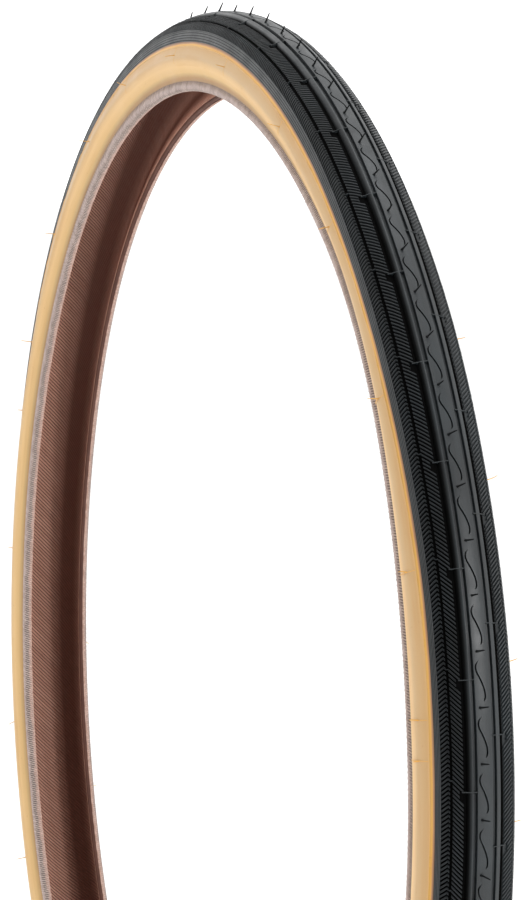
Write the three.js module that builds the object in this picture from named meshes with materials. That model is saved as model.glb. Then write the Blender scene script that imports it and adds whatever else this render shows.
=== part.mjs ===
// Bicycle tyre, 26 x 1 3/8 in (ISO 37-590), wired on, off its rim with the beads hanging free.
// Millimetres. The wheel axis is Y, the tyre stands upright with +Z up, and the origin is the
// centre of the ring. Left is the +Y side and right is the -Y side.
//
// Every ring is one cross-section swept round the Y axis. A cross-section is drawn for the left
// half in (side, radius): side is the distance from the tyre's middle plane, radius the distance
// from the wheel axis.

import * as THREE from 'three';

// Driving dimensions
const SEAT_RADIUS = 590 / 2; // the circle on the rim that the beads sit on
const CROWN_RADIUS = 332.1; // top of the centre rib
const BEAD_SPREAD = 15.45; // bead wire to middle plane, tyre off the rim
const FACETS = 40; // flat facets round every ring, one of them straight down

// Thicknesses
const GAP = 0.1; // bond line left open between two layers
const PLY = 0.45;
const BREAKER = 0.45;
const CHAFER = 0.5;
const GROOVE_FLOOR = 330.5; // radius at the bottom of the two grooves beside the centre rib
const OUTER_GROOVE_FLOOR = 328.9; // radius at the bottom of the grooves beside the chevron bands

// Bead: wire in a pocket, ply round the pocket, chafer round the ply
const WIRE = 0.85; // radius of the steel wire
const SLEEVE = 1.2; // radius of the sleeve crimped over the wire's joint
const SLEEVE_WALL = 0.25;
const SLEEVE_LENGTH = 14;
const POCKET = 1.3;
const PLY_WRAP = POCKET + PLY;
const CHAFER_WRAP = PLY_WRAP + GAP + CHAFER;
const WIRE_RADIUS = SEAT_RADIUS + CHAFER_WRAP;
const TOE_SHARE = 0.4; // where on the first flat of the wrap the chafer's edge lies
const WRAP_SHOULDER = 0.75; // how far the bead's straight outer side reaches above the wire

// Layers, as distances from the inside face of the tyre
const OUTER_PLY = PLY + GAP;
const CARCASS = OUTER_PLY + PLY + GAP;
const OVER_TURN_UP = CARCASS + PLY + GAP;
const OVER_BREAKER = CARCASS + BREAKER + GAP;

const at = (side, radius) => new THREE.Vector2(radius, side);
const shifted = (point, direction, distance) => point.clone().addScaledVector(direction, distance);

// Inside face of the left half, from the bead wire up the sidewall to the crown
const INSIDE = [
  at(BEAD_SPREAD - PLY_WRAP, WIRE_RADIUS),
  at(14.9, 301.0),
  at(18.3, 308.0),
  at(18.9, 312.5),
  at(15.6, 319.1),
  at(11.0, 324.7),
  at(5.2, 327.4),
];
const [BEAD, WAIST, FLANK, WIDEST, TREAD_EDGE, SHOULDER, CROWN] = INSIDE.keys();

const SIDEWAYS = new THREE.Vector2(0, 1); // outward normal of the bead's straight inner side
const UPWARDS = new THREE.Vector2(1, 0); // outward normal of the crown

// Outward normal of the stretch of the inside face that ends at the given station
function normalTo(station) {
  if (station === BEAD) return SIDEWAYS.clone();
  if (station > CROWN) return UPWARDS.clone();
  const run = INSIDE[station].clone().sub(INSIDE[station - 1]).normalize();
  return new THREE.Vector2(-run.y, run.x);
}

// The inside face moved outwards by a distance, with every stretch kept parallel
function layer(distance) {
  return INSIDE.map((point, station) => {
    const after = normalTo(station + 1);
    const middle = normalTo(station).add(after).normalize();
    return shifted(point, middle, distance / middle.dot(after));
  });
}

// Point on a stretch of a layer, share 0 at its first station and 1 at its second
const along = (line, station, share) => line[station].clone().lerp(line[station + 1], share);

// Polygon round the bead wire whose flats lie at the given distance, from the wire's inner side
// under the wire to its outer side
function wrap(distance) {
  const turns = [202.5, 247.5, 292.5, 337.5];
  const reach = distance / Math.cos(Math.PI / 8);
  return turns.map((degrees) => {
    const angle = THREE.MathUtils.degToRad(degrees);
    return at(BEAD_SPREAD + reach * Math.cos(angle), WIRE_RADIUS + reach * Math.sin(angle));
  });
}

const mirrored = (points) => points.map((point) => new THREE.Vector2(point.x, -point.y));
const bothHalves = (points) => [...points, ...mirrored(points).reverse()];

// One closed ring: the outline is swept round the Y axis, with its facets' middles on the radius
function ring(outline) {
  const counterClockwise = THREE.ShapeUtils.isClockWise(outline) ? [...outline].reverse() : outline;
  const round = counterClockwise.map(
    (point) => new THREE.Vector2(point.x / Math.cos(Math.PI / FACETS), point.y),
  );
  round.push(round[0].clone());
  return new THREE.LatheGeometry(round, FACETS, Math.PI / FACETS);
}

// Tread surface of the left half, from the edge of the gum sidewall up to the centre rib
const TREAD_FACE = [
  at(17.55, 320.2), // edge of the black rubber
  at(16.5, 322.7), // outer edge of the chevron band
  at(13.65, 327.9), // fold line of the chevrons
  at(8.6, 330.1), // inner edge of the chevron band
  at(8.4, OUTER_GROOVE_FLOOR),
  at(7.5, OUTER_GROOVE_FLOOR),
  at(7.3, 330.7), // side rib
  at(4.8, 331.5),
  at(4.6, GROOVE_FLOOR),
  at(3.8, GROOVE_FLOOR),
  at(3.6, CROWN_RADIUS), // centre rib
];

function treadOutline() {
  const overBreaker = layer(OVER_BREAKER);
  const edge = along(layer(CARCASS), TREAD_EDGE, 0.04);
  const inside = [edge, overBreaker[SHOULDER], overBreaker[CROWN]];
  return [...bothHalves(TREAD_FACE), ...bothHalves(inside).reverse()];
}

function breakerOutline() {
  const under = layer(CARCASS).slice(SHOULDER);
  const over = layer(OVER_BREAKER - GAP).slice(SHOULDER);
  return [...bothHalves(over), ...bothHalves(under).reverse()];
}

// Outer side of the bead, straight up from the wrap, then in to the waist and up the sidewall
function turnUp(distance, wrapDistance) {
  const line = layer(distance);
  const side = BEAD_SPREAD + wrapDistance;
  return [at(side, WIRE_RADIUS + WRAP_SHOULDER), line[WAIST], along(line, WAIST, 0.5)];
}

// The inner ply lines the whole inside, passes under both wires and turns up outside them
function innerPlyOutline() {
  const downTo = (line, bend, end) => [...line.reverse(), ...bend, ...end];
  const face = downTo(layer(0), wrap(PLY_WRAP), turnUp(CARCASS + PLY, PLY_WRAP));
  const wireSide = downTo(layer(PLY), wrap(POCKET), turnUp(CARCASS, POCKET));
  return [...bothHalves(face.reverse()), ...bothHalves(wireSide.reverse()).reverse()];
}

function outerPlyOutline() {
  const under = layer(OUTER_PLY).slice(WAIST);
  const over = layer(OUTER_PLY + PLY).slice(WAIST);
  return [...bothHalves(over), ...bothHalves(under).reverse()];
}

// Gum face of the left half, from the edge of the black rubber down to the chafer
const GUM_FACE = [
  at(17.65, 319.95),
  at(20.8, 313.3),
  at(21.1, 311.0),
  at(20.4, 307.4),
  at(18.7, 303.9),
  at(17.15, 300.75),
];

function sidewallOutline() {
  const carcass = layer(CARCASS);
  const overTurnUp = layer(OVER_TURN_UP);
  const lower = [along(overTurnUp, WAIST, 0.03), along(overTurnUp, WAIST, 0.55)];
  return [...GUM_FACE, ...lower, carcass[FLANK], carcass[WIDEST], carcass[TREAD_EDGE]];
}

// Tape round the outside of the bead, from its toe to the waist
function chaferOutline() {
  const face = (wrapDistance, distance) => {
    const bend = wrap(wrapDistance);
    const toe = along(bend, 0, TOE_SHARE);
    return [toe, ...bend.slice(1), ...turnUp(distance, wrapDistance).slice(0, 2)];
  };
  const outerSide = face(CHAFER_WRAP, OVER_TURN_UP + CHAFER);
  return [...outerSide, ...face(PLY_WRAP + GAP, OVER_TURN_UP).reverse()];
}

// Wedge between the wire, the inner ply and its turned-up end
function fillerOutline() {
  const low = WIRE_RADIUS + SLEEVE + GAP;
  const innerSide = layer(PLY + GAP);
  const outerSide = layer(CARCASS - GAP);
  const top = along(outerSide, BEAD, 0.95);
  return [at(14.85, low), at(15.95, low), top, along(innerSide, BEAD, 0.93)];
}

function wireOutline() {
  const corners = 6;
  return Array.from({ length: corners }, (_, corner) => {
    const angle = (corner / corners) * 2 * Math.PI;
    return at(BEAD_SPREAD + WIRE * Math.cos(angle), WIRE_RADIUS + WIRE * Math.sin(angle));
  });
}

// Straight tube over the joint of the wire, on the facet at the top of the ring
function sleeveGeometry() {
  const half = SLEEVE_LENGTH / 2;
  const bore = SLEEVE - SLEEVE_WALL;
  const wall = [[bore, -half], [SLEEVE, -half], [SLEEVE, half], [bore, half], [bore, -half]];
  const outline = wall.map(([radius, height]) => new THREE.Vector2(radius, height));
  return new THREE.LatheGeometry(outline, 8).rotateZ(Math.PI / 2);
}

function finish(colour, roughness, metalness = 0) {
  return new THREE.MeshStandardMaterial({ color: colour, roughness, metalness });
}

const blackRubber = finish(0x3a3d3f, 0.62);
const gumRubber = finish(0xe0b886, 0.55);
const chaferFabric = finish(0xb9a49a, 0.8);
const brownCord = finish(0x5e4034, 0.75);
const breakerCord = finish(0x8d7a63, 0.85);
const steel = finish(0xa8a9ab, 0.35, 1);
const fillerRubber = finish(0x2a2927, 0.7);

const tyre = new THREE.Group();

function add(name, geometry, material) {
  const mesh = new THREE.Mesh(geometry, material);
  mesh.name = name;
  tyre.add(mesh);
  return mesh;
}

function addPair(name, outline, material) {
  add(`${name}_left`, ring(outline), material);
  add(`${name}_right`, ring(mirrored(outline)), material);
}

add('tread', ring(treadOutline()), blackRubber);
add('breaker_strip', ring(breakerOutline()), breakerCord);
add('casing_ply_outer', ring(outerPlyOutline()), brownCord);
add('casing_ply_inner', ring(innerPlyOutline()), brownCord);
addPair('sidewall', sidewallOutline(), gumRubber);
addPair('chafer', chaferOutline(), chaferFabric);
addPair('bead_filler', fillerOutline(), fillerRubber);
addPair('bead_wire', wireOutline(), steel);
for (const [side, place] of [['left', BEAD_SPREAD], ['right', -BEAD_SPREAD]]) {
  add(`bead_sleeve_${side}`, sleeveGeometry(), steel).position.set(0, place, WIRE_RADIUS);
}

export default tyre;
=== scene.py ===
import math

import bpy
import numpy as np
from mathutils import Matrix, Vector


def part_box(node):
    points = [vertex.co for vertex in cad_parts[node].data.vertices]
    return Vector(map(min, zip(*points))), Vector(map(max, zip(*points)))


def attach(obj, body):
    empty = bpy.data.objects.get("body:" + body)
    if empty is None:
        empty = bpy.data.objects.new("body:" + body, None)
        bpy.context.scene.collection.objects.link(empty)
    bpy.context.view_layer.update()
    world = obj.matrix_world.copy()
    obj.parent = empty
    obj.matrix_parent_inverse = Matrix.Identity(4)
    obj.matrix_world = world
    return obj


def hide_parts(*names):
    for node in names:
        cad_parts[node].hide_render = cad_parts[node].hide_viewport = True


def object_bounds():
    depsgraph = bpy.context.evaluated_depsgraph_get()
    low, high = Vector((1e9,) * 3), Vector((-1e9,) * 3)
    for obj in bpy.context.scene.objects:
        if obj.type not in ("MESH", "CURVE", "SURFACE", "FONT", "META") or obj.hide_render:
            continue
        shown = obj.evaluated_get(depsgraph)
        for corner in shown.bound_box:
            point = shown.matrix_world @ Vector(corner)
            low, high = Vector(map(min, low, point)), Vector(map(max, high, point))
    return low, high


# A bicycle tyre, 26 x 1 3/8 in, standing upright off its rim. Shapes are in millimetres until each
# mesh is made, and all else is in metres. A point of the ring is (angle, side, radius): the angle runs
# round the wheel axis Y from +X towards +Z, side is the distance from the middle plane and radius the
# distance from the axis. Left is the +Y side. Parts of the right side are made on the left and mirrored.

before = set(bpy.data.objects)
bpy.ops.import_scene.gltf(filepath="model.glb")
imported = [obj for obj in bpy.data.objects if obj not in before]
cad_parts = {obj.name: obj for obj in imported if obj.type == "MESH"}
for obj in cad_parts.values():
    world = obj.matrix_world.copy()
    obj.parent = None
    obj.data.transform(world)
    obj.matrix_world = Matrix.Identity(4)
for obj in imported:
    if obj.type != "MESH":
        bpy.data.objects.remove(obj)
cad_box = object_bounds()
scene = bpy.context.scene
MM = 0.001
chance = np.random.default_rng(37590)

# Driving dimensions
SEAT_RADIUS = 295.0  # the circle on the rim that the beads sit on
CROWN_RADIUS = -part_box("tread")[0].z / MM
BEAD_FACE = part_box("chafer_left")[1].y / MM
WIRE_SIDE = 15.45
CHAFER_WRAP = BEAD_FACE - WIRE_SIDE
WIRE_RADIUS = SEAT_RADIUS + CHAFER_WRAP
WIRE = 0.85  # radius of the steel wire
SLEEVE = 1.2  # radius of the sleeve over the wire's joint
SLEEVE_WALL = 0.25
POCKET = 1.3  # radius of the pocket round the wire

# Thicknesses, and the layers as distances from the inside face of the tyre
PLY = 0.45
GAP = 0.1
CHAFER = 0.5
BREAKER = 0.45
OUTER_PLY = PLY + GAP
CARCASS = 2 * (PLY + GAP)
OVER_TURN_UP = CARCASS + PLY + GAP
OVER_BREAKER = CARCASS + BREAKER + GAP

# What repeats round the ring
SMOOTH_COLUMNS = 520
TIES = 46
SIPES = 2 * TIES
CHEVRONS_PER_TIE = 24
CHEVRONS = CHEVRONS_PER_TIE * TIES
CORDS = 1012
CHAFER_THREADS = 1550
TIE_START = math.radians(29.3)
TIE_PITCH = 2 * math.pi / TIES
SIPE_PITCH = 2 * math.pi / SIPES
CHEVRON_PITCH = 2 * math.pi / CHEVRONS


# ---------- lines and meshes

def rounded(corners, closed=False, steps=4):
    """A line through corners (side, radius, reach), each rounded off from that reach before it to that
    reach after it, or half a run if that is less."""
    ends = [] if closed else [0, len(corners) - 1]
    line = []
    for k, (side, radius, reach) in enumerate(corners):
        here = np.array((side, radius))
        if k in ends or reach == 0:
            line.append(here)
            continue
        arms = []
        for other in (corners[k - 1], corners[(k + 1) % len(corners)]):
            arm = np.array(other[:2]) - here
            arms.append(here + arm * min(0.5, reach / np.linalg.norm(arm)))
        for share in np.linspace(0, 1, steps + 1):
            a, b, c = (1 - share) ** 2, 2 * share * (1 - share), share**2
            line.append(a * arms[0] + b * here + c * arms[1])
    return np.array(line)


class Line:
    """A line in (side, radius) that is read by its length, with normals to its left."""

    SLOPE_REACH = 0.2

    def __init__(self, points):
        self.points = np.asarray(points, float)
        steps = np.linalg.norm(np.diff(self.points, axis=0), axis=1)
        self.lengths = np.r_[0, np.cumsum(steps)]
        self.length = self.lengths[-1]

    def spot(self, length):
        return [np.interp(length, self.lengths, self.points[:, k]) for k in (0, 1)]

    def at(self, length, away=0.0):
        """The points at these lengths, moved away along the normals."""
        length = np.asarray(length, float)
        side, radius = self.spot(length)
        normal = self.normal(length)
        return np.stack((side + away * normal[..., 0], radius + away * normal[..., 1]), -1)

    def normal(self, length):
        low = np.clip(np.asarray(length, float) - self.SLOPE_REACH, 0, self.length)
        high = np.clip(np.asarray(length, float) + self.SLOPE_REACH, 0, self.length)
        run = [after - before for after, before in zip(self.spot(high), self.spot(low))]
        size = np.hypot(*run)
        return np.stack((-run[1] / size, run[0] / size), -1)

    def nearest(self, side, radius):
        """The length at the point of the line nearest to this one."""
        many = np.linspace(0, self.length, 2000)
        return many[np.linalg.norm(self.at(many) - (side, radius), axis=1).argmin()]


def mirrored(points):
    return np.asarray(points)[::-1] * (-1, 1)


def place(angle, side, radius):
    angle, side, radius = np.broadcast_arrays(angle, side, radius)
    return np.stack((radius * np.cos(angle), side, radius * np.sin(angle)), -1)


def grid(points):
    """Vertices and faces of a closed ring: points (columns, lanes, 3), joined up both ways."""
    columns, lanes = points.shape[:2]
    i, j = np.meshgrid(np.arange(columns), np.arange(lanes), indexing="ij")
    after, beside = (i + 1) % columns, (j + 1) % lanes
    faces = np.stack((i * lanes + j, after * lanes + j, after * lanes + beside, i * lanes + beside), -1)
    return points.reshape(-1, 3), faces.reshape(-1, 4)


def clockwise(outline):
    side, radius = np.asarray(outline, float).T
    return np.sum(side * np.roll(radius, -1) - radius * np.roll(side, -1)) < 0


def turns(columns):
    """That many angles, evenly spaced round the ring."""
    return np.linspace(0, 2 * np.pi, columns, endpoint=False)


def swept(outline):
    """A closed outline of (side, radius) swept round the axis. A clockwise one is turned over."""
    side, radius = np.asarray(outline, float).T
    if clockwise(outline):
        side, radius = side[::-1], radius[::-1]
    return grid(place(turns(SMOOTH_COLUMNS)[:, None], side[None], radius[None]))


def tube(stations, corners):
    """Faces of a closed bar, with an even number of corners at each of its stations."""
    s, k = np.meshgrid(np.arange(stations - 1) * corners, np.arange(corners), indexing="ij")
    beside = (k + 1) % corners
    sides = np.stack((s + k, s + corners + k, s + corners + beside, s + beside), -1).reshape(-1, 4)
    k = np.arange(corners // 2 - 1)
    cap = np.stack((k, k + 1, corners - 2 - k, corners - 1 - k), -1)
    return np.concatenate((sides, cap, cap[:, ::-1] + (stations - 1) * corners))


def bars(angles, line, normal, across, height, inward=False):
    """Closed bars laid over a surface: angles (bars, stations), line and normal (stations, 2), and
    across and height of the section (bars, stations, corners). What bars share may be given once."""
    number, stations, corners = len(angles), len(line), across.shape[-1]
    side, radius = line.T[:, None, :, None]
    out_side, out_radius = normal.T[:, None, :, None]
    turn = angles[:, :, None] + across / radius
    points = place(turn, side + out_side * height, radius + out_radius * height)
    one = tube(stations, corners)
    if inward:
        one = one[:, ::-1]
    faces = one[None] + (np.arange(number) * stations * corners)[:, None, None]
    return points.reshape(-1, 3), faces.reshape(-1, 4)


def joined(*parts):
    """Several parts as one."""
    points, faces, start = [], [], 0
    for some_points, some_faces in parts:
        points.append(some_points)
        faces.append(some_faces + start)
        start += len(some_points)
    return np.concatenate(points), np.concatenate(faces)


def sided(word, part, turn=0.0):
    """A part that was made on the left, on its own side: for the right mirrored, and turned on."""
    if word == "left":
        return part
    points, faces = part
    x, y, z = points.T
    cos, sin = math.cos(turn), math.sin(turn)
    return np.stack((x * cos - z * sin, -y, x * sin + z * cos), -1), faces[:, ::-1]


def eased(share):
    """A share from 0 to 1, with a soft start and end."""
    return share * share * (3 - 2 * share)


# How the tyre has sprung off its rim: angle in degrees, widening of the beads and of the left half
# of the tread as shares of their width, rise of the crown in millimetres, roll of the tread towards
# the left side and slip of its right shoulder towards the bead in degrees
FLEX = [
    (-90, 0, 0, 0, 0, 0),
    (-40, 0.03, 0.02, 0, 1.5, -1.0),
    (-2, 0.065, 0.045, 0, 2.8, -2.2),
    (8, 0.075, 0.04, 0, 2.8, -2.0),
    (17, 0.055, 0.02, 0, 2.8, -1.1),
    (25, 0.018, 0, 0, 1.8, 2.0),
    (35, -0.045, -0.01, 0, 0.8, 6.0),
    (45, -0.068, -0.04, 0, 0, 8.0),
    (57, -0.02, -0.085, 0.3, 0, 8.0),
    (70, 0, -0.11, 0.6, 0, 7.0),
    (90, 0, -0.08, 1.1, 0, 5.2),
    (108, -0.015, -0.03, 0.6, 0, 4.6),
    (135, -0.035, 0, -0.9, 0, 3.4),
    (165, 0.02, 0, 0, 0, 1.0),
    (200, 0.03, 0, 0, 0, 0),
    (235, 0, 0, 0, 0, 0),
]
SECTION_CENTRE = 311.0  # radius that the section rolls about
ROLL_ENDS, ROLL_FADE = 110, 47  # degrees from the crown, and over how many it fades out
SHOULDER_TILT = 63  # degrees from the crown to the tread's shoulder
BEADS_TO_TREAD = (305, 13)  # radius where the beads' widening turns into the tread's, over how far
RISE_FROM = (318, 12)  # radius where the rise starts, and over how far it comes in


def smooth_through(xs, ys, wanted, period):
    """A smooth closed curve through points: cubic pieces whose slopes come from their neighbours."""
    xs = np.r_[xs[-2:] - period, xs, xs[:2] + period]
    ys = np.r_[ys[-2:], ys, ys[:2]]
    slopes = np.gradient(ys, xs)
    k = np.clip(np.searchsorted(xs, wanted) - 1, 0, len(xs) - 2)
    width = xs[k + 1] - xs[k]
    s = (wanted - xs[k]) / width
    a, b = 2 * s**3 - 3 * s**2 + 1, s**3 - 2 * s**2 + s
    return a * ys[k] + b * width * slopes[k] + (1 - a) * ys[k + 1] + (s**3 - s**2) * width * slopes[k + 1]


def flexed(points):
    """The shape as it stands free: spread, raised and rolled round the ring as FLEX says."""
    x, y, z = points.T
    radius = np.hypot(x, z)
    turn = (np.degrees(np.arctan2(z, x)) + 90) % 360 - 90
    knots = np.array(FLEX, float).T
    curves = (smooth_through(knots[0], values, turn, 360) for values in knots[1:])
    bead, far, rise, roll, slip = curves
    out = np.hypot(y, radius - SECTION_CENTRE)
    tilt = np.degrees(np.arctan2(y, radius - SECTION_CENTRE))
    fade = eased(np.clip((ROLL_ENDS - np.abs(tilt)) / ROLL_FADE, 0, 1))
    shoulder = np.where(tilt < 0, np.minimum(-tilt / SHOULDER_TILT, 1) ** 2, 0)
    tilt = np.radians(tilt + fade * (roll - slip * shoulder))
    side, height = out * np.sin(tilt), SECTION_CENTRE + out * np.cos(tilt)
    crown = np.clip((height - BEADS_TO_TREAD[0]) / BEADS_TO_TREAD[1], 0, 1)
    side = side * (1 + bead * (1 - crown) + np.where(side > 0, far, 0) * crown)
    height = height + rise * np.clip((height - RISE_FROM[0]) / RISE_FROM[1], 0, 1)
    return np.stack((x * height / radius, side, z * height / radius), -1)


def put(name, data):
    """An object in the scene that holds this data."""
    obj = bpy.data.objects.new(name, data)
    scene.collection.objects.link(obj)
    return obj


def piece(name, part, material, nodes, slot, crease=35.0, **values):
    """A mesh piece that rides on the tyre's body and stands for CAD nodes. Edges of more than crease
    degrees are sharp, and values are per-vertex attributes."""
    points, faces = part
    points = flexed(points)
    mesh = bpy.data.meshes.new(name)
    mesh.vertices.add(len(points))
    mesh.vertices.foreach_set("co", (points * MM).astype(np.float32).ravel())
    mesh.loops.add(faces.size)
    mesh.loops.foreach_set("vertex_index", faces.astype(np.int32).ravel())
    mesh.polygons.add(len(faces))
    mesh.polygons.foreach_set("loop_start", np.arange(0, faces.size, 4, dtype=np.int32))
    mesh.update(calc_edges=True)
    mesh.validate()
    for key, value in values.items():
        attribute = mesh.attributes.new(key, "FLOAT", "POINT")
        attribute.data.foreach_set("value", np.broadcast_to(value, len(points)).astype(np.float32))
    mesh.shade_smooth()
    mesh.set_sharp_from_angle(angle=math.radians(crease))
    mesh.materials.append(material)
    obj = put(name, mesh)
    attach(obj, "root")
    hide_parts(*nodes)


# ---------- materials

def srgb(red, green, blue):
    """A colour given as it looks on a screen, 0 to 255, as the linear colour that a shader takes."""
    shares = [v / 255 for v in (red, green, blue)]
    linear = [((v + 0.055) / 1.055) ** 2.4 if v > 10 / 255 else v / 12.92 for v in shares]
    return (*linear, 1.0)


class Nodes:
    def __init__(self, owner):
        owner.use_nodes = True
        self.tree = owner.node_tree

    def add(self, kind, inputs=(), **settings):
        node = self.tree.nodes.new(kind)
        for key, value in settings.items():
            setattr(node, key, value)
        for key, value in dict(inputs).items():
            if isinstance(value, bpy.types.NodeSocket):
                self.tree.links.new(value, node.inputs[key])
            else:
                node.inputs[key].default_value = value
        return node


class Look(Nodes):
    """A node material with a few shorthands. Scales are repeats in a metre."""

    def __init__(self, name, specular=0.5, metallic=0.0):
        self.material = bpy.data.materials.new(name)
        super().__init__(self.material)
        self.shader = self.tree.nodes["Principled BSDF"]
        self.shader.inputs["Specular IOR Level"].default_value = specular
        self.shader.inputs["Metallic"].default_value = metallic
        self.place = self.add("ShaderNodeTexCoord").outputs["Object"]
        self.bumps = None

    def math(self, operation, *values, clamp=False):
        settings = {"operation": operation, "use_clamp": clamp}
        return self.add("ShaderNodeMath", enumerate(values), **settings).outputs[0]

    def ring(self, along, across, radial):
        """Coordinates that go round the ring: metres along, across and out, each times a scale. Their
        ends meet at the bottom."""
        split = self.add("ShaderNodeSeparateXYZ", {0: self.place}).outputs
        angle = self.math("ARCTAN2", split[0], split[2])
        values = {
            0: self.math("MULTIPLY", angle, CROWN_RADIUS * MM * along),
            1: self.math("MULTIPLY", split[1], across),
            2: self.math("MULTIPLY", self.radius(), radial),
        }
        return self.add("ShaderNodeCombineXYZ", values).outputs[0]

    def radius(self):
        in_plane = {0: self.place, 1: (1, 0, 1)}
        flat = self.add("ShaderNodeVectorMath", in_plane, operation="MULTIPLY").outputs[0]
        return self.add("ShaderNodeVectorMath", {0: flat}, operation="LENGTH").outputs["Value"]

    def noise(self, scale, detail=3.0, where=None):
        inputs = {"Vector": where or self.place, "Scale": scale, "Detail": detail, "Roughness": 0.55}
        return self.add("ShaderNodeTexNoise", inputs).outputs["Fac"]

    def ring_noise(self, detail, along, across):
        """Noise drawn out along the ring."""
        return self.noise(1.0, detail, where=self.ring(along, across, across))

    def spread(self, value, low, high, to_low=0.0, to_high=1.0):
        inputs = {"Value": value, "From Min": low, "From Max": high, "To Min": to_low, "To Max": to_high}
        return self.add("ShaderNodeMapRange", inputs, clamp=True).outputs[0]

    def patches(self, scale, to_low=0.0, to_high=1.0, detail=3.0):
        return self.spread(self.noise(scale, detail), 0.3, 0.7, to_low, to_high)

    def mix(self, share, first, second):
        inputs = {0: share, 6: first, 7: second}
        return self.add("ShaderNodeMix", inputs, data_type="RGBA").outputs[2]

    def tinted(self, colour, share, strength, tint):
        return self.mix(self.math("MULTIPLY", share, strength), colour, tint)

    def ramp(self, value, stops):
        node = self.add("ShaderNodeValToRGB", {0: value})
        elements = node.color_ramp.elements
        while len(elements) < len(stops):
            elements.new(0.5)
        for element, (position, colour) in zip(elements, stops):
            element.position = position
            element.color = colour
        return node.outputs[0]

    def value(self, name):
        """A per-vertex value, which is 0 on a piece that has none of that name."""
        return self.add("ShaderNodeAttribute", attribute_name=name).outputs["Fac"]

    def bump(self, height, distance, strength=1.0):
        inputs = {"Height": height, "Distance": distance, "Strength": strength}
        if self.bumps:
            inputs["Normal"] = self.bumps
        self.bumps = self.add("ShaderNodeBump", inputs).outputs[0]

    def done(self, colour, roughness):
        for key, value in (("Base Color", colour), ("Roughness", roughness), ("Normal", self.bumps)):
            if value is not None:
                self.tree.links.new(value, self.shader.inputs[key])
        return self.material


# Colours by the radius in millimetres, or by the share of the way across the tape
# Painted shade in the gum's colours: darker in the waist by the tape (there partly a brown line along its
# edge), above the bulge where the face turns down, and past the orange flash line by the black rubber
GUM_SHADES = [
    (299.8, 150, 118, 84), (301.4, 168, 130, 82), (302.6, 190, 156, 104), (304.0, 218, 180, 120),
    (307.0, 227, 188, 130), (309.5, 218, 180, 126), (312.0, 200, 168, 124), (316.4, 196, 158, 108),
    (317.8, 202, 160, 102), (318.6, 224, 170, 76), (319.0, 208, 152, 82), (319.4, 166, 122, 90),
    (319.8, 126, 90, 64),
]
THREAD_SHADES = [
    (0.0, 180, 157, 143), (0.38, 190, 169, 157), (0.5, 208, 190, 184), (0.68, 194, 176, 168),
    (0.8, 190, 172, 163), (0.86, 204, 174, 162),
]
TAPE_SHADES = [
    (0.0, 90, 74, 66), (0.3, 110, 94, 86), (0.44, 176, 156, 148), (0.6, 172, 150, 142),
    (0.68, 104, 92, 86), (0.8, 104, 90, 84), (0.86, 160, 132, 120),
]


def stops(shades, low=0.0, high=1.0):
    """A ramp's stops, low at its start and high at its end."""
    return [((at - low) / (high - low), srgb(*shade)) for at, *shade in shades]


def tread_rubber():
    """Moulded rubber, satin on top, with painted shade that makes it near black and duller where deep is
    high.
    """
    look = Look("tread_rubber")
    bloom = look.spread(look.noise(34.0, 5.0), 0.42, 0.72)
    streaks = look.spread(look.ring_noise(4.0, 18.0, 900.0), 0.35, 0.75)
    colour = look.mix(bloom, srgb(20, 24, 26), srgb(30, 36, 39))
    colour = look.tinted(colour, streaks, 0.3, srgb(44, 52, 56))
    deep = look.value("deep")
    # painted shade: near black in the grooves and valleys, on the right band and on the whiskers
    colour = look.mix(deep, colour, srgb(5, 5, 5))
    shine = look.math("MULTIPLY_ADD", deep, -0.46, 0.5)
    look.tree.links.new(shine, look.shader.inputs["Specular IOR Level"])
    look.bump(look.noise(2600.0), 0.00006)
    rough = look.patches(90.0, 0.36, 0.5, detail=4.0)
    rough = look.math("MULTIPLY_ADD", deep, 0.4, rough, clamp=True)
    return look.done(colour, rough)


def gum_rubber():
    """Natural rubber, coloured by the radius it is moulded at, some of it painted shade. Whiskers and vent
    lines are golden.
    """
    look = Look("gum_rubber", specular=0.45)
    low, high = 298.0, 321.0
    height = look.spread(look.value("level"), low, high)
    wander = look.spread(look.ring_noise(3.0, 30.0, 60.0), 0.2, 0.8, -0.012, 0.012)
    height = look.math("ADD", height, wander)
    colour = look.ramp(height, stops(GUM_SHADES, low, high))
    cloudy = look.spread(look.noise(26.0, 4.0), 0.3, 0.75)
    grime = look.spread(look.ring_noise(4.0, 14.0, 260.0), 0.5, 0.7)
    specks = look.spread(look.noise(700.0, 2.0), 0.66, 0.74)
    colour = look.tinted(colour, cloudy, 0.15, srgb(206, 158, 98))
    colour = look.tinted(colour, grime, 0.3, srgb(194, 140, 74))
    colour = look.tinted(colour, specks, 0.2, srgb(178, 130, 80))
    colour = look.mix(look.value("golden"), colour, srgb(226, 168, 70))
    look.bump(look.noise(1500.0), 0.00004)
    look.bump(look.ring_noise(3.0, 60.0, 500.0), 0.0002, 0.5)
    return look.done(colour, look.patches(60.0, 0.42, 0.56, detail=4.0))


def chafer_fabric(name, shades, weave_shade_and_wear):
    """Rubberised tape or its threads. across runs from the tape's top edge, 0, to its toe, 1."""
    look = Look(name, specular=0.3)
    smear = look.spread(look.noise(150.0, 4.0), 0.35, 0.65, -0.05, 0.05)
    colour = look.ramp(look.math("ADD", look.value("across"), smear), stops(shades))
    if weave_shade_and_wear:
        # tone is a random share per thread plus painted shade where a thread dips under; the lighter noise
        # after it is wear
        colour = look.tinted(colour, look.value("tone"), 0.6, srgb(112, 100, 96))
        rubbed_off = look.spread(look.noise(420.0, 4.0), 0.5, 0.62)
        colour = look.tinted(colour, rubbed_off, 0.35, srgb(136, 118, 110))
    look.bump(look.noise(2200.0), 0.00008)
    return look.done(colour, look.patches(400.0, 0.66, 0.84))


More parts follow.
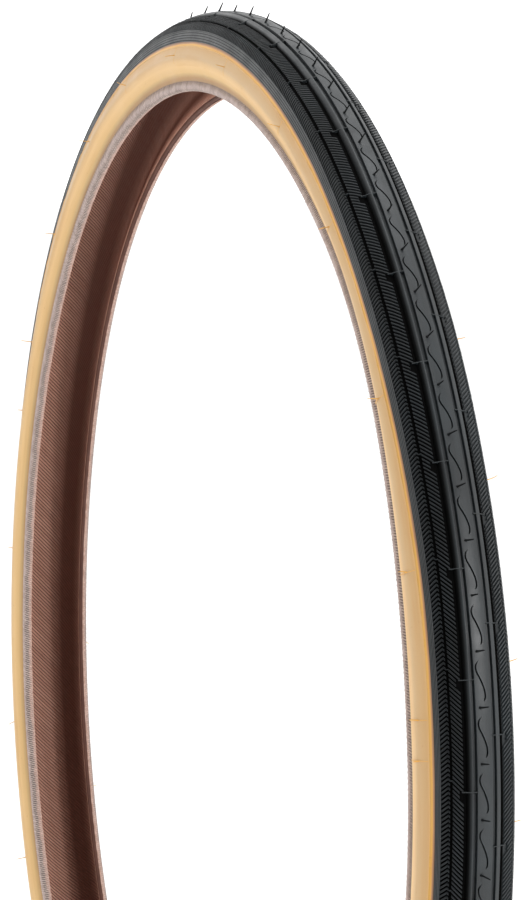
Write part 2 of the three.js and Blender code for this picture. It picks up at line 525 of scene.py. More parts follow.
def tape_edge():
    look = Look("chafer_edge", specular=0.3)
    frayed = look.spread(look.noise(500.0, 4.0), 0.4, 0.62)
    colour = look.mix(frayed, srgb(168, 132, 118), srgb(200, 168, 154))
    look.bump(look.noise(1800.0), 0.0001)
    return look.done(colour, look.patches(400.0, 0.7, 0.85))


# How much painted shade the casing gets, by the distance to the left of the middle plane
CASING_SHADE_SHARES = [
    (-3, 0.0), (0, 0.08), (5, 0.28), (8, 0.45), (10, 0.7),
    (11.5, 0.97), (16, 1.0), (17.5, 0.8), (19, 0.35),
]


def with_painted_shade(look, colour, painted_shade):
    """The casing's colour: as given over the crown and down the right, with painted shade inside the left
    sidewall.
    """
    reach = 20
    side = look.add("ShaderNodeSeparateXYZ", {0: look.place}).outputs[1]
    across = look.spread(side, -reach * MM, reach * MM)
    shade_stops = [((at + reach) / (2 * reach), (share, share, share, 1)) for at, share in CASING_SHADE_SHARES]
    above_bead = look.spread(look.radius(), 0.300, 0.306)
    share = look.math("MULTIPLY", look.ramp(across, shade_stops), above_bead)
    return look.mix(share, colour, painted_shade)


def casing_cord():
    look = Look("casing_cord", specular=0.35)
    colour = look.mix(look.value("tone"), srgb(178, 130, 112), srgb(206, 160, 140))
    fluff = look.spread(look.noise(900.0), 0.55, 0.7)
    colour = look.tinted(colour, look.patches(30.0, detail=5.0), 0.3, srgb(168, 118, 100))
    colour = look.tinted(colour, fluff, 0.25, srgb(214, 174, 152))
    # painted shade: the cords turn this dark brown inside the left sidewall, above the bead
    colour = with_painted_shade(look, colour, srgb(92, 52, 38))
    look.bump(look.noise(2600.0), 0.00008)
    return look.done(colour, look.patches(200.0, 0.6, 0.76))


def casing_rubber():
    look = Look("casing_rubber", specular=0.4)
    colour = look.mix(look.patches(60.0, detail=4.0), srgb(86, 54, 44), srgb(104, 68, 56))
    # painted shade: the liner turns this dark brown inside the left sidewall, above the bead
    colour = with_painted_shade(look, colour, srgb(78, 44, 34))
    look.bump(look.noise(1200.0), 0.0001)
    return look.done(colour, look.patches(150.0, 0.55, 0.7))


def hidden_fabric(name, dark, light):
    """Cord fabric inside the tyre: fine cords on the bias, rubbed with rubber."""
    look = Look(name, specular=0.3)
    cords = {"Vector": look.ring(1.0, 1.0, 0.0), "Scale": 160.0, "Distortion": 0.6, "Detail": 2.0}
    wave = look.add("ShaderNodeTexWave", cords, bands_direction="DIAGONAL").outputs["Fac"]
    look.bump(wave, 0.0002)
    return look.done(look.mix(wave, dark, light), look.patches(300.0, 0.7, 0.85))


def bronze_wire():
    look = Look("bead_steel", metallic=1.0)
    drawn = look.ring_noise(3.0, 30.0, 9000.0)
    colour = look.mix(look.spread(drawn, 0.35, 0.65), srgb(150, 118, 84), srgb(196, 170, 132))
    look.bump(drawn, 0.00003)
    return look.done(colour, look.spread(drawn, 0.3, 0.7, 0.26, 0.42))


def filler_rubber():
    look = Look("filler_rubber", specular=0.4)
    colour = look.mix(look.patches(120.0, detail=4.0), srgb(34, 33, 31), srgb(52, 50, 47))
    look.bump(look.noise(1400.0), 0.0001)
    return look.done(colour, look.patches(200.0, 0.6, 0.75))


RUBBER = tread_rubber()
GUM_RUBBER = gum_rubber()
THREAD = chafer_fabric("chafer_thread", THREAD_SHADES, weave_shade_and_wear=True)
TAPE = chafer_fabric("chafer_tape", TAPE_SHADES, weave_shade_and_wear=False)
EDGE = tape_edge()
CORD = casing_cord()
LINER = casing_rubber()
BREAKER_CORD = hidden_fabric("breaker_fabric", srgb(106, 90, 72), srgb(150, 130, 104))
PLY_CORD = hidden_fabric("casing_fabric", srgb(78, 54, 43), srgb(124, 92, 74))
STEEL = bronze_wire()
FILLER = filler_rubber()


# ---------- the casing

CROWN = (5.2, 327.4)
SHOULDER = (11.0, 324.7)
TREAD_EDGE = (15.6, 319.1)
WIDEST = (18.9, 312.5)
FLANK = (18.3, 308.0)
WAIST = (14.9, 301.0)
FULL_REACH = 99  # a corner's reach that is always more than half of its runs

# Inside face of the tyre from the right bead over the crown to the left bead
HALF_INSIDE = [CROWN, SHOULDER, TREAD_EDGE, WIDEST, FLANK, WAIST, (13.7, WIRE_RADIUS)]
RIGHT_INSIDE = [(-side, radius, FULL_REACH) for side, radius in HALF_INSIDE[::-1]]
LEFT_INSIDE = [(side, radius, FULL_REACH) for side, radius in HALF_INSIDE]
inside = Line(rounded(RIGHT_INSIDE + LEFT_INSIDE, steps=12))
middle = inside.length / 2
left_waist = inside.nearest(*WAIST)

CASING_STATIONS = 31
CORD_LEAN = 0.99  # how far a cord goes round the ring for each millimetre across
CORD_RADIUS = 312  # where their pitch is measured
CORD_SECTION = np.array(((-0.4, 0.06), (-0.2, -0.24), (0.2, -0.24), (0.4, 0.06)))
casing_lengths = np.linspace(0, inside.length, CASING_STATIONS)


def round_wire(distance, turn):
    """Points round the left bead wire, at a distance from its centre and at these angles."""
    return np.stack((WIRE_SIDE + distance * np.cos(turn), WIRE_RADIUS + distance * np.sin(turn)), -1)


def between(lengths, low, high):
    """The outline of a layer between two distances from the inside face."""
    return np.concatenate((inside.at(lengths, low), inside.at(lengths, high)[::-1]))


def inner_ply():
    """Lines the whole inside, goes round under both wires and turns up outside them."""
    turned_up = [left_waist, inside.nearest(16.6, 304.5)]
    under_wire = np.radians(np.linspace(180, 360, 9))[1:]

    def bead(distance, away):
        straight_side = (WIRE_SIDE + distance, WIRE_RADIUS + 0.75)
        under = round_wire(distance, under_wire)
        return np.concatenate((under, [straight_side], inside.at(turned_up, away)))

    face, back = inside.at(casing_lengths), inside.at(casing_lengths, PLY)
    left = np.concatenate((bead(POCKET + PLY, CARCASS + PLY), bead(POCKET, CARCASS)[::-1]))
    return swept(np.concatenate((face, left, back[::-1], mirrored(left))))


def casing_cords(word):
    """Half-round cords on the bias, from the crown to one bead."""
    half = CASING_STATIONS // 2
    lengths = casing_lengths[half:] if word == "left" else casing_lengths[: half + 1]
    lengths = np.clip(lengths, 0.35, inside.length - 0.35)
    steps = np.linspace(0, inside.length, 400)
    turned = CORD_LEAN * np.r_[0, np.cumsum(np.diff(steps) / inside.at(steps)[1:, 1])]
    start = np.arange(CORDS) * 2 * np.pi / CORDS
    pitch = 2 * np.pi * CORD_RADIUS / CORDS
    across, height = CORD_SECTION.T
    thick = chance.normal(1.0, 0.08, (CORDS, 1, 1))
    part = bars(
        start[:, None] + np.interp(lengths, steps, turned)[None],
        inside.at(lengths),
        inside.normal(lengths),
        across * pitch,
        height * thick,
        inward=True,
    )
    return part, np.repeat(cord_tones, len(lengths) * len(CORD_SECTION))


def breaker():
    reach = inside.nearest(*SHOULDER) - middle
    return swept(between(np.linspace(middle - reach, middle + reach, 28), CARCASS, CARCASS + BREAKER))


def outer_ply():
    lengths = np.linspace(left_waist, inside.length - left_waist, 48)
    return swept(between(lengths, OUTER_PLY, OUTER_PLY + PLY))


cord_tones = np.clip(chance.normal(0.5, 0.14, CORDS), 0, 1)
piece("casing_ply_inner_body", inner_ply(), LINER, ["casing_ply_inner"], "casing_cord")
for word in ("left", "right"):
    part, tone = casing_cords(word)
    piece(f"casing_cords_{word}", part, CORD, ["casing_ply_inner"], "casing_cord", crease=60, tone=tone)
piece("casing_ply_outer_body", outer_ply(), PLY_CORD, ["casing_ply_outer"], "casing_cord")
piece("breaker_strip_body", breaker(), BREAKER_CORD, ["breaker_strip"], "breaker_fabric")


# ---------- beads

# Half of the sleeve from its end to its middle: distance from the middle along it, and radius
SLEEVE_HALF = [
    (7.0, 1.1), (6.9, SLEEVE), (4.6, SLEEVE), (4.2, 1.08),
    (3.4, 1.08), (3.0, SLEEVE), (0.4, SLEEVE), (0.0, 1.08),
]


def wire():
    return swept(round_wire(WIRE, turns(16)))


def sleeve():
    """A straight steel tube crimped over the joint of the wire, at the top of the ring."""
    along, outer = np.array([(-x, radius) for x, radius in SLEEVE_HALF] + SLEEVE_HALF[-2::-1]).T
    x = np.r_[along, along[::-1]]
    radius = np.r_[outer, outer[::-1] - SLEEVE_WALL]
    turn = turns(32)[:, None]
    side, height = WIRE_SIDE + radius * np.cos(turn), WIRE_RADIUS + radius * np.sin(turn)
    return grid(np.stack(np.broadcast_arrays(x, side, height), -1))


def filler():
    """Wedge of rubber between the wire, the inner ply and its turned-up end."""
    low = WIRE_RADIUS + SLEEVE + GAP
    side, high = inside.at(inside.nearest(14.85, 300.8), OUTER_PLY + 0.2)
    corners = [(14.85, low, 0.2), (15.95, low, 0.2), (side + 0.28, high, 0.1), (side, high, 0.1)]
    return swept(rounded(corners, closed=True))


# Each tape's outer side, from its top edge down past the bead face and under the bead to its toe
TAPE_FACE = [
    (16.3, 302.7, 0), (16.75, 301.2, 0.6), (17.6, 299.0, 0.8),
    (BEAD_FACE, 296.5, 1.3), (16.6, SEAT_RADIUS, 1.3),
]
TAPES = {
    "left": Line(rounded([*TAPE_FACE, (15.2, SEAT_RADIUS + 0.15, 0)], steps=6)),
    "right": Line(rounded([*TAPE_FACE, (14.3, SEAT_RADIUS, 0.8), (13.5, 295.75, 0)], steps=6)),
}
TAPE_RADIUS = 296  # where the threads' pitch and lean are measured
THREAD_SINK = -0.08
THREAD_STATIONS = 13
THREAD_LEAN = 0.35
THREAD_SECTION = np.array(((-0.46, -0.24), (-0.28, 0.0), (0.28, 0.0), (0.46, -0.24)))


def chafer_body(tape):
    """The tape's rubbered base, and how far across the tape each vertex lies."""
    lengths = np.linspace(0, tape.length, 26)
    outline = np.concatenate((tape.at(lengths, THREAD_SINK), tape.at(lengths, THREAD_SINK - CHAFER)[::-1]))
    across = np.r_[lengths, lengths[::-1]] / tape.length
    if clockwise(outline):
        across = across[::-1]
    return swept(outline), np.tile(across, SMOOTH_COLUMNS)


def chafer_threads(tape):
    """Threads across the tape, going over and under the ones that run along it."""
    lengths = np.linspace(0.15, tape.length - 0.1, THREAD_STATIONS)
    pitch = 2 * np.pi * TAPE_RADIUS / CHAFER_THREADS
    share = lengths / tape.length
    open_weave = np.clip((share - 0.6) / 0.08, 0, 1) * np.clip((0.88 - share) / 0.08, 0, 1)
    by_the_gum = np.clip((0.48 - share) / 0.08, 0, 1)
    width = 1 - 0.2 * open_weave - 0.24 * by_the_gum
    across, height = THREAD_SECTION.T
    order = np.arange(CHAFER_THREADS)
    over = ((order[:, None] + np.arange(THREAD_STATIONS)[None]) % 2) * 0.12 - 0.05
    over = over + chance.normal(0.0, 0.012, over.shape)
    shape = (*over.shape, len(THREAD_SECTION))
    part = bars(
        (order * 2 * np.pi / CHAFER_THREADS)[:, None] + (THREAD_LEAN * lengths / TAPE_RADIUS)[None],
        tape.at(lengths),
        tape.normal(lengths),
        across * pitch * width[:, None],
        height + over[:, :, None],
    )
    slow = np.clip(chance.normal(0.4, 0.25, CHAFER_THREADS), 0, 1)
    # tone: a random share per thread, plus painted shade where the thread dips under
    tone = np.repeat(slow[:, None] * 0.6 + (over < 0) * 0.4, shape[2], axis=1).ravel()
    return part, np.clip(tone, 0, 1), np.broadcast_to(share[None, :, None], shape).ravel()


def tape_toe(tape):
    """The tape's cut edge, a thin ragged bead of rubber along the toe."""
    columns = 1800
    rag = chance.normal(0, 1, columns)
    window = np.hanning(9) / np.hanning(9).sum()
    rag = np.convolve(np.r_[rag[-4:], rag, rag[:4]], window, "valid")[:, None]
    size = 0.34 + 0.09 * rag
    toe = tape.at(tape.length, -0.1)
    side = toe[0] + 0.12 + 0.1 * rag + size * np.cos(turns(10))
    radius = toe[1] + size * np.sin(turns(10))
    return grid(place(turns(columns)[:, None], side, radius))


bead_parts = [
    ("wire", wire(), STEEL, "bead_steel"),
    ("sleeve", sleeve(), STEEL, "bead_steel"),
    ("filler", filler(), FILLER, "filler_rubber"),
]
for word in ("left", "right"):
    for kind, part, material, slot in bead_parts:
        piece(f"bead_{kind}_{word}_round", sided(word, part), material, [f"bead_{kind}_{word}"], slot)

    threads, tone, across = chafer_threads(TAPES[word])
    body, body_across = chafer_body(TAPES[word])
    for kind, part, material, values in (
        ("body", body, TAPE, {"across": body_across}),
        ("threads", threads, THREAD, {"tone": tone, "across": across}),
        ("toe", tape_toe(TAPES[word]), EDGE, {}),
    ):
        here, nodes = sided(word, part), [f"chafer_{word}"]
        piece(f"chafer_{kind}_{word}", here, material, nodes, "chafer_fabric", 60, **values)


# ---------- gum sidewalls

def gum_line(bulge):
    """The gum's face from the edge of the black rubber down to the tape, bulge at its widest."""
    corners = [
        (17.6, 320.0, 0), (bulge - 0.55, 313.4, 4), (bulge, 311.0, 2), (bulge - 0.75, 307.4, 4),
        (18.5, 304.1, 2.5), (17.05, 301.9, 1.0), (16.65, 301.1, 0),
    ]
    return Line(rounded(corners, steps=8))


GUM = {"left": gum_line(20.4), "right": gum_line(21.1)}
GUM_COLUMNS = 1440
FLASH = (18.6, 317.9)  # the raised line near the black rubber
FLASH_STEPS = np.array((-0.75, -0.5, -0.3, -0.12, 0.0, 0.12, 0.3, 0.5, 0.75))
LOW_FLASH = (17.0, 301.8)  # the small one by the tape
TOP, FRONT = 92, 8  # degrees round the ring where the gum's lower edge dips and where it rises
DIP = 1.3
PRESS = 0.9  # how far the bulge is pressed in at the front
# Where the sidewall's back lies: a point by the inside face, and the distance from that face
GUM_BACK = [
    ((15.0, 301.1), OVER_TURN_UP), ((16.7, 304.7), OVER_TURN_UP),
    (FLANK, CARCASS), ((18.9, 311.0), CARCASS),
    ((18.7, 313.5), CARCASS), ((17.4, 316.3), CARCASS),
    (TREAD_EDGE, CARCASS),
]


def level(part):
    """How far out from the axis each vertex is moulded, in millimetres."""
    return np.hypot(part[0][:, 0], part[0][:, 2])


def slow_noise(lumps):
    """A closed random curve round the sidewall, with about that many lumps."""
    knots = chance.normal(0, 1, lumps)
    spots = np.linspace(0, lumps, GUM_COLUMNS, endpoint=False)
    low = np.floor(spots).astype(int)
    share = eased(spots - low)
    return knots[low % lumps] * (1 - share) + knots[(low + 1) % lumps] * share


def hump(value, width):
    """A bell curve, 1 where the value is 0."""
    return np.exp(-((value / width) ** 2))


def sidewall(gum):
    """Outer face with its raised flash line near the tread, and the face against the casing."""
    flash = gum.nearest(*FLASH)
    plain = np.linspace(0, gum.length, 30)
    lengths = np.sort(np.r_[plain[np.abs(plain - flash) > 0.8], flash + FLASH_STEPS])
    sway = 0.08 * slow_noise(120) + 0.05 * slow_noise(420)
    tall = np.clip(0.32 + 0.1 * slow_noise(90) + 0.1 * slow_noise(500), 0.1, 0.7)
    raised = tall[:, None] * hump(lengths[None] - flash - sway[:, None], 0.36)
    raised = raised + 0.15 * hump(lengths[None] - gum.nearest(*LOW_FLASH), 0.35)
    face, normal = gum.at(lengths), gum.normal(lengths)
    side = face[None, :, 0] + normal[None, :, 0] * raised
    radius = face[None, :, 1] + normal[None, :, 1] * raised

    from_top = (np.degrees(turns(GUM_COLUMNS)) - TOP + 180) % 360 - 180
    at_front = hump(from_top + (TOP - FRONT), 34)[:, None]
    dip = DIP * hump(from_top, 38)[:, None] - DIP * at_front
    dip = dip * np.clip((303.0 - radius) / 1.7, 0, 1)
    side = side - PRESS * at_front * hump(radius - 309, 4.2)
    side, radius = side + 0.56 * np.maximum(dip, 0) + 0.3 * np.minimum(dip, 0), radius - dip

    back = np.array([inside.at(inside.nearest(*point), away) for point, away in GUM_BACK])
    shape = (GUM_COLUMNS, len(back))
    side = np.concatenate((side, np.broadcast_to(back[:, 0], shape)), axis=1)
    radius = np.concatenate((radius, np.broadcast_to(back[:, 1], shape)), axis=1)
    return place(turns(GUM_COLUMNS)[:, None], side, radius)


def oriented(points):
    """Joins up a ring of points with its faces pointing out, whichever way round its lanes go."""
    if clockwise(np.stack((points[0, :, 1], np.hypot(points[0, :, 0], points[0, :, 2])), -1)):
        points = points[:, ::-1]
    return grid(points)


def gum_piece(word, kind, part, **values):
    name, nodes = f"sidewall_{word}_{kind}", [f"sidewall_{word}"]
    piece(name, part, GUM_RUBBER, nodes, "gum_rubber", 60, level=level(part), **values)


for word in ("left", "right"):
    gum_piece(word, "skin", sided(word, oriented(sidewall(GUM[word]))))


# ---------- tread

def bowed(start, bend, end):
    """A smooth line from start to end that leans out to the bend."""
    return Line(rounded([(*start, 0), (*bend, FULL_REACH), (*end, 0)], steps=10))


RIDGE = 0.8  # height of the chevrons' ridges
BAND_EDGE, FOLD = (8.6, 330.1), (13.65, 327.9)  # a band's inner edge and its fold line
column_inner = bowed(BAND_EDGE, (11.2, 329.3), FOLD)
# The right shoulder stands a little squarer than the left one
column_outer = {
    "left": bowed(FOLD, (15.45, 325.6), (16.5, 322.7)),
    "right": bowed(FOLD, (15.8, 326.5), (16.95, 324.2)),
}
FOLD_HALF = 0.58  # half the width of the gap at the fold line
TURN_BACK = 1.3  # how far out from the fold the outer ridges turn back
BLACK_EDGE = (17.6, 320.05)
FRONT_SHADE_END = 72  # degrees from the front where the painted shade on the right side rib's flank ends
# From the crown's middle over one groove, the side rib and the other groove to the chevron band
RIBS = [
    (0.0, 330.4, 0), (4.75, 330.2, 0.2), (5.1, 331.5, 0.14), (5.5, 331.42, 0.2),
    (7.0, 330.75, 0.3), (7.3, 329.0, 0.3), (8.4, 328.9, 0.15), (8.75, BAND_EDGE[1] - RIDGE, 0.1),
]
# The lip at the band's outer edge: distance past that edge, height, and how much painted shade it gets
LIP = [(-0.34, 0.0, 0.6), (-0.26, 0.14, 0.0), (-0.1, 0.16, 0.0), (0.0, -0.1, 0.5)]


def black_edge(lip_end):
    """The plain strip from the lip to the gum with its fine grooves, and how sunk each point is."""
    side, radius = lip_end
    corners = [(side, radius - 0.2, 0), (17.4, 0.4 * radius + 0.6 * BLACK_EDGE[1], 2), (*BLACK_EDGE, 0)]
    edge = Line(rounded(corners, steps=4))
    grooves = round(edge.length / 0.9)
    middles = (np.arange(grooves) + 0.55) * edge.length / grooves
    lengths = np.r_[0, (middles[:, None] + (-0.2, 0.0, 0.2)).ravel(), edge.length]
    sunk = np.array([0, *(0, 1, 0) * grooves, 0])
    return np.array([edge.at(length, -0.16 * down) for length, down in zip(lengths, sunk)]), sunk


def flank(word):
    """The tread's face from its middle to the gum on one side, how much painted shade each point
    gets in grooves and valleys, and the painted shade on the right side rib's flank at the front."""
    row = column_outer[word]
    ribs = rounded(RIBS, steps=5)
    past, high, lip_shade = np.array(LIP).T
    band = (
        column_inner.at(np.linspace(0.2, column_inner.length - FOLD_HALF, 7), -RIDGE),
        np.array((column_inner.at(column_inner.length - 0.3, -1.25), row.at(0.25, -1.25))),
        row.at(np.linspace(FOLD_HALF, row.length - 0.4, 7), -RIDGE),
    )
    lip = np.array([row.at(row.length + length, height) for length, height in zip(past, high)])
    edge, sunk = black_edge(row.at(row.length, -0.12))
    # painted shade: darker the lower the ribs lie, on the bands' valley floors (light on the left band,
    # full on the right), at the lip's ends and in the fine grooves
    hollow = np.clip((330.4 - ribs[:, 1]) / 1.0, 0, 1)
    rows = np.full(sum(map(len, band)), 0.25 if word == "left" else 1.0)
    deep = np.r_[hollow, rows, lip_shade, 0.8 * sunk]
    painted_shade = np.zeros(len(deep))
    if word == "right":
        # painted shade on the right side rib's outer flank and groove, strongest at the front of the tyre
        painted_shade[: len(ribs)] = 0.95 * np.clip((331.42 - ribs[:, 1]) / 0.25, 0, 1) * (ribs[:, 0] > 5.1)
    return np.concatenate((ribs, *band, lip, edge)), deep, painted_shade


def tread_body():
    """All of the tread but its centre rib, chevrons, ties and whiskers, and how much painted shade each
    vertex gets.
    """
    root = inside.at(inside.nearest(*TREAD_EDGE), CARCASS)
    under = inside.at(np.linspace(inside.nearest(15.0, 320.0), middle, 16), OVER_BREAKER)
    below = np.concatenate(([root], under[:-1]))
    (left, *left_looks), (right, *right_looks) = flank("left"), flank("right")
    outline = np.concatenate((left, below, mirrored(below), mirrored(right)[:-1]))
    inner_face = np.zeros(2 * len(below))
    deep, painted_shade = (np.r_[a, inner_face, b[::-1][:-1]] for a, b in zip(left_looks, right_looks))
    if clockwise(outline):
        deep, painted_shade = deep[::-1], painted_shade[::-1]
    turn = np.linspace(0, 360, SMOOTH_COLUMNS, endpoint=False)
    front = np.clip((FRONT_SHADE_END - np.minimum(turn, 360 - turn)) / 26, 0, 1)[:, None]
    return swept(outline), np.maximum(deep, painted_shade * front).ravel()


# The wavy cut on the centre rib: (share of the pitch, side), from its low end to its high end
SIPE = [
    (-0.4, 0.25), (-0.36, 0.75), (-0.26, 1.0), (-0.12, 0.3), (0.04, -1.15),
    (0.13, -2.1), (0.2, -2.45), (0.27, -2.2), (0.32, -1.4), (0.35, -0.7),
]
SIPE_WIDTH = 0.72
SIPE_DEPTH = 1.05
SIPE_COLUMNS = 40  # columns of the centre rib for each cut
RIB_TOP = 3.05  # half the width of the centre rib's flat top
RIB_SIDE = [(-3.45, 330.2), (-3.38, 331.4), (-3.3, 331.75)]


def crown(side):
    """Radius of the centre rib's top, which falls off more to the right."""
    return CROWN_RADIUS - 0.2 * (side / 3.4) ** 2 - 0.14 * np.clip(-side / 3.4, 0, 1) ** 1.5


def centre_rib():
    """The flat rib round the crown with its wavy cuts, as lanes that follow the cut's two lips."""
    columns = SIPES * SIPE_COLUMNS
    share = (np.arange(columns) % SIPE_COLUMNS) / SIPE_COLUMNS - 0.5
    angle = TIE_START + (np.arange(columns) / SIPE_COLUMNS - 0.5) * SIPE_PITCH
    shares, sides = np.array(SIPE).T
    cut = smooth_through(shares, sides, share, 1.0)
    slope = np.gradient(cut, share) / (SIPE_PITCH * CROWN_RADIUS)
    opened = np.clip((share - shares[0]) / 0.04, 0, 1) * np.clip((shares[-1] - share) / 0.09, 0, 1)
    opened = eased(opened)
    half_width = 0.5 * SIPE_WIDTH * np.sqrt(1 + slope**2) * (0.06 + 0.94 * opened)
    left, right = cut - half_width, cut + half_width
    depth = SIPE_DEPTH * opened

    top = [-RIB_TOP + (left + RIB_TOP) * part for part in (0.5, 0.85)]
    top += [left, left + 0.25 * half_width, right - 0.25 * half_width, right]
    top += [right + (RIB_TOP - right) * part for part in (0.15, 0.5)]
    heights = [crown(side) for side in top]
    heights[3], heights[4] = crown(left) - depth, crown(right) - depth
    lanes = [*RIB_SIDE, (-RIB_TOP, crown(-RIB_TOP))]
    lanes += list(zip(top, heights))
    lanes += [(-side, radius) for side, radius in (*RIB_SIDE, (-RIB_TOP, crown(-RIB_TOP)))][::-1]
    side, radius = (np.stack([np.broadcast_to(v, columns) for v in values], 1) for values in zip(*lanes))
    return oriented(place(angle[:, None], side, radius))


HALF_RIDGE = [(-0.55, -0.12), (-0.42, 0.8), (-0.3, 1.0)]
RIDGE_SECTION = np.array(HALF_RIDGE + [(-across, height) for across, height in HALF_RIDGE[::-1]])
RIDGE_STATIONS = np.array(((0.0, 0.7), (0.05, 1.0), (0.5, 1.0), (0.95, 1.0), (1.0, 0.7)))
LEAN_INNER, LEAN_OUTER = 0.9, -0.65  # how far a ridge goes round the ring for each millimetre across


def chevron_column(line, start, end, lean, shift, left_out=()):
    """One row of slanted ridges, without those whose number within a tie's pitch is left out. shift
    is how far round the ring they start."""
    shares, heights = RIDGE_STATIONS.T
    lengths = start + (end - start) * shares
    points, normal = line.at(lengths, -RIDGE), line.normal(lengths)
    order = np.arange(CHEVRONS)
    slant = (shift + lean * (lengths - start)[None]) / points[None, :, 1]
    angles = TIE_START + order[:, None] * CHEVRON_PITCH + slant
    width = 0.95 * chance.normal(1.0, 0.03, (CHEVRONS, 1))
    tall = RIDGE * chance.normal(1.0, 0.03, (CHEVRONS, 1)) * heights
    across = RIDGE_SECTION[:, 0] * width[:, :, None]
    height = RIDGE_SECTION[:, 1] * tall[:, :, None]
    height[:, :, (0, -1)] = -0.1
    keep = np.isin(order % CHEVRONS_PER_TIE, left_out, invert=True)
    return bars(angles[keep], points, normal, across[keep], height[keep])


def chevrons(word):
    """The rows of one band. The outer row's ridges turn back a little way out from the fold."""
    row = column_outer[word]
    inner_end = column_inner.length - FOLD_HALF
    by_the_tie = [22, 23]  # these two start further out, past the tie's end
    others = list(range(22))
    fold_shift = LEAN_INNER * (column_inner.length - 0.1)
    turn_shift = fold_shift + LEAN_INNER * (TURN_BACK - FOLD_HALF)
    return joined(
        chevron_column(column_inner, 0.3, inner_end, LEAN_INNER, 0.3 * LEAN_INNER, by_the_tie),
        chevron_column(column_inner, 2.0, inner_end, LEAN_INNER, 1.9 * LEAN_INNER, others),
        chevron_column(row, FOLD_HALF, TURN_BACK, LEAN_INNER, fold_shift),
        chevron_column(row, TURN_BACK, row.length - 0.2, LEAN_OUTER, turn_shift),
    )


# A tie's path: side, radius, and how deep it goes, from the centre rib over the side rib to the band
TIE_PATH = [
    (3.5, 331.95, 1.5), (4.2, 331.75, 1.6), (4.9, 331.58, 1.2), (6.0, 331.3, 0.9),
    (7.1, 330.95, 1.6), (7.9, 330.45, 1.6), (8.7, 330.2, 0.9), (9.6, 329.85, 0.6),
]
FOLD_PATH = [(13.1, 328.15, 1.2), (13.65, 327.85, 1.2), (14.05, 327.1, 1.2)]
TIE_ACROSS = np.array((-0.2, -0.17, -0.08, 0.08, 0.17, 0.2))


def fins(path, drop, shift):
    """A fin along the path at every tie. drop is how far its shoulders lie below its top."""
    side, radius, deep = np.array(path).T
    line = Line(np.stack((side, radius), -1))
    flat = np.zeros(len(path))
    height = np.stack((-deep, flat - drop, flat, flat, flat - drop, -deep), -1)
    angles = (TIE_START + np.arange(TIES) * TIE_PITCH + shift)[:, None]
    return bars(angles, line.at(line.lengths), line.normal(line.lengths), TIE_ACROSS, height)


def ties():
    """Thin fins that bridge the grooves, and that bridge the fold as far on as the ridges lean."""
    return joined(fins(TIE_PATH, 0.08, 0.0), fins(FOLD_PATH, 0.1, LEAN_INNER * 5.2 / 328))


WHISKER_SIDES = 8
WHISKER_TAPER = (1.5, 1.05, 0.95, 0.85, 0.75, 0.55)  # thickness from the root to the tip


def whisker(root, direction, length, thick, bend):
    """One thin tapered hair of moulded rubber: a closed tube with square-cut ends."""
    direction = direction / np.linalg.norm(direction)
    first = np.cross(direction, (0.3, 0.2, 0.9))
    first /= np.linalg.norm(first)
    second = np.cross(direction, first)
    share = np.linspace(0, 1, len(WHISKER_TAPER))[:, None]
    spine = root + direction * length * share + bend * length * share**2
    size = 0.5 * thick * np.array(WHISKER_TAPER)[:, None, None]
    turn = turns(WHISKER_SIDES)[None, :, None]
    points = (spine[:, None] + size * (np.cos(turn) * first + np.sin(turn) * second)).reshape(-1, 3)
    return points, tube(len(WHISKER_TAPER), WHISKER_SIDES)[:, ::-1]


def directions(angle):
    """Unit vectors out, to the left and round the ring at an angle."""
    out = np.array((math.cos(angle), 0, math.sin(angle)))
    return out, np.array((0.0, 1.0, 0.0)), np.array((-math.sin(angle), 0, math.cos(angle)))


def tread_whiskers():
    hairs = []
    for k in range(SIPES):
        out, left, onward = directions(TIE_START + (k + 0.5) * SIPE_PITCH)
        lean = out + left * chance.uniform(0.3, 0.45) + onward * chance.normal(0, 0.06)
        bend = onward * chance.normal(0, 0.04) + left * chance.normal(0.0, 0.03)
        root = out * (CROWN_RADIUS - 0.15) + left * -1.5
        hairs.append(whisker(root, lean, chance.uniform(3.6, 5.4), 0.8, bend))
    return joined(*hairs)


def tread_piece(kind, part, crease=30, **values):
    piece(f"tread_{kind}", part, RUBBER, ["tread"], "tread_rubber", crease, **values)


# The right band and its ties stand half a pitch further round than the left ones
half_tie = TIE_PITCH / 2
body, deep = tread_body()
tread_piece("body", body, deep=deep)
tread_piece("centre_rib", centre_rib())
tread_piece("chevrons_left", chevrons("left"))
# painted shade darkens the right band's ridges
tread_piece("chevrons_right", sided("right", chevrons("right"), half_tie), deep=0.3)
for word in ("left", "right"):
    tread_piece(f"ties_{word}", sided(word, ties(), half_tie))
# painted shade makes the whiskers near black and takes off their gloss
tread_piece("whiskers", tread_whiskers(), 60, deep=0.75)


# ---------- gum whiskers

# Where each sidewall's moulding vents are, in degrees round the ring
VENTS = {
    "left": (-14, -1, 11, 25, 37, 52, 66, 80, 95, 110, 124, 139, 153, 168)
    + (182, 197, 212, 226, 241, 256, 270, 285, 300, 315, 330),
    "right": (4, 7, 18, 32, 49, 63, 78, 92, 107, 120, 135, 149, 157, 172)
    + (190, 204, 219, 235, 248, 262, 277, 291, 306, 320, 336, 350),
}
VENT_SECTION = np.array(((-0.3, -0.1), (-0.12, 0.08), (0.12, 0.08), (0.3, -0.1)))


def gum_whiskers(word):
    hairs = []
    for degrees in VENTS[word]:
        out, left, onward = directions(math.radians(degrees))
        aside = left if word == "left" else -left
        lean = aside + out * chance.uniform(-0.1, 0.5) + onward * chance.normal(0, 0.15)
        root = out * 313.5 + aside * (GUM[word].points[:, 0].max() - 0.65)
        bend = onward * chance.normal(0, 0.15) + out * chance.normal(0, 0.1)
        hairs.append(whisker(root, lean, chance.uniform(2.5, 6.5), 0.45, bend))
    return joined(*hairs)


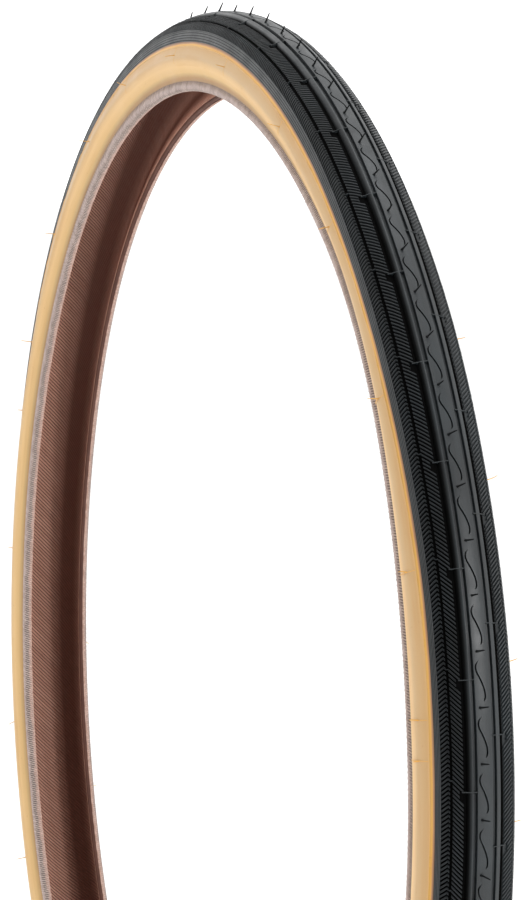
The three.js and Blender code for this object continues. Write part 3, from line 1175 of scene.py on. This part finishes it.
def vent_lines(word):
    """Thin lines of rubber across the sidewall, where the moulding vents were cut."""
    gum = GUM[word]
    lengths = np.linspace(gum.nearest(18.8, 317.4), gum.nearest(20.5, 308.5), 9)
    angles = np.radians(VENTS[word])[:, None]
    return bars(angles, gum.at(lengths), gum.normal(lengths), *VENT_SECTION.T)


for word in ("left", "right"):
    gum_piece(word, "whiskers", gum_whiskers(word), golden=0.8)
    gum_piece(word, "vent_lines", sided(word, vent_lines(word)), golden=0.45)


# ---------- floor, light, camera

def floor():
    size = 30.0
    low = cad_box[0][2] - 0.0005
    mesh = bpy.data.meshes.new("floor")
    corners = [(-size, -size, low), (size, -size, low), (size, size, low), (-size, size, low)]
    mesh.from_pydata(corners, [], [(0, 1, 2, 3)])
    look = Look("floor", specular=0.1)
    colour = look.mix(look.noise(3.0, 2.0), srgb(252, 252, 251), srgb(254, 254, 254))
    mesh.materials.append(look.done(colour, look.spread(look.noise(2.0), 0.0, 1.0, 0.85, 0.9)))
    put("floor", mesh)


def aim(obj, place, target):
    obj.location = place
    obj.rotation_euler = (Vector(target) - Vector(place)).to_track_quat("-Z", "Y").to_euler()


def area_light(name, place, target, size, power, colour=(1, 1, 1)):
    lamp = bpy.data.lights.new(name, "AREA")
    lamp.shape = "DISK"
    lamp.size = size
    lamp.energy = power
    lamp.color = colour
    aim(put(name, lamp), place, target)


EYE = (1.7192, -0.5720, 0.2752)
LOOK_AT = (0.0616, 0.0, 0.1276)


def studio():
    """A white room that gets dark round the camera, with one lamp in front and two above."""
    world = bpy.data.worlds.new("studio")
    scene.world = world
    nodes = Nodes(world)
    direction = nodes.add("ShaderNodeTexCoord").outputs["Generated"]
    to_eye = (Vector(EYE) - Vector(LOOK_AT)).normalized()
    facing = nodes.add("ShaderNodeVectorMath", {0: direction, 1: to_eye}, operation="DOT_PRODUCT")
    inputs = {"Value": facing.outputs["Value"]}
    inputs |= {"From Min": 0.1, "From Max": 0.9, "To Min": 1.45, "To Max": 0.1}
    strength = nodes.add("ShaderNodeMapRange", inputs, interpolation_type="SMOOTHSTEP").outputs[0]
    background = world.node_tree.nodes["Background"]
    world.node_tree.links.new(strength, background.inputs["Strength"])
    background.inputs["Color"].default_value = (1, 1, 1, 1)
    area_light("key", (2.3, 0.74, 0.75), (0, 0, 0.05), 0.3, 23)
    area_light("ceiling", (-0.1, 0.5, 3.0), (0, 0, 0.2), 1.6, 14, (0.93, 0.97, 1.0))
    area_light("front", (1.5, -0.3, 2.2), (0, 0, 0.1), 0.8, 8)


def camera():
    lens = bpy.data.cameras.new("camera")
    lens.lens = 150.73
    lens.sensor_width = 36.0
    lens.clip_end = 100.0
    obj = put("camera", lens)
    aim(obj, EYE, LOOK_AT)
    scene.camera = obj


floor()
studio()
camera()
scene.view_settings.view_transform = "Standard"
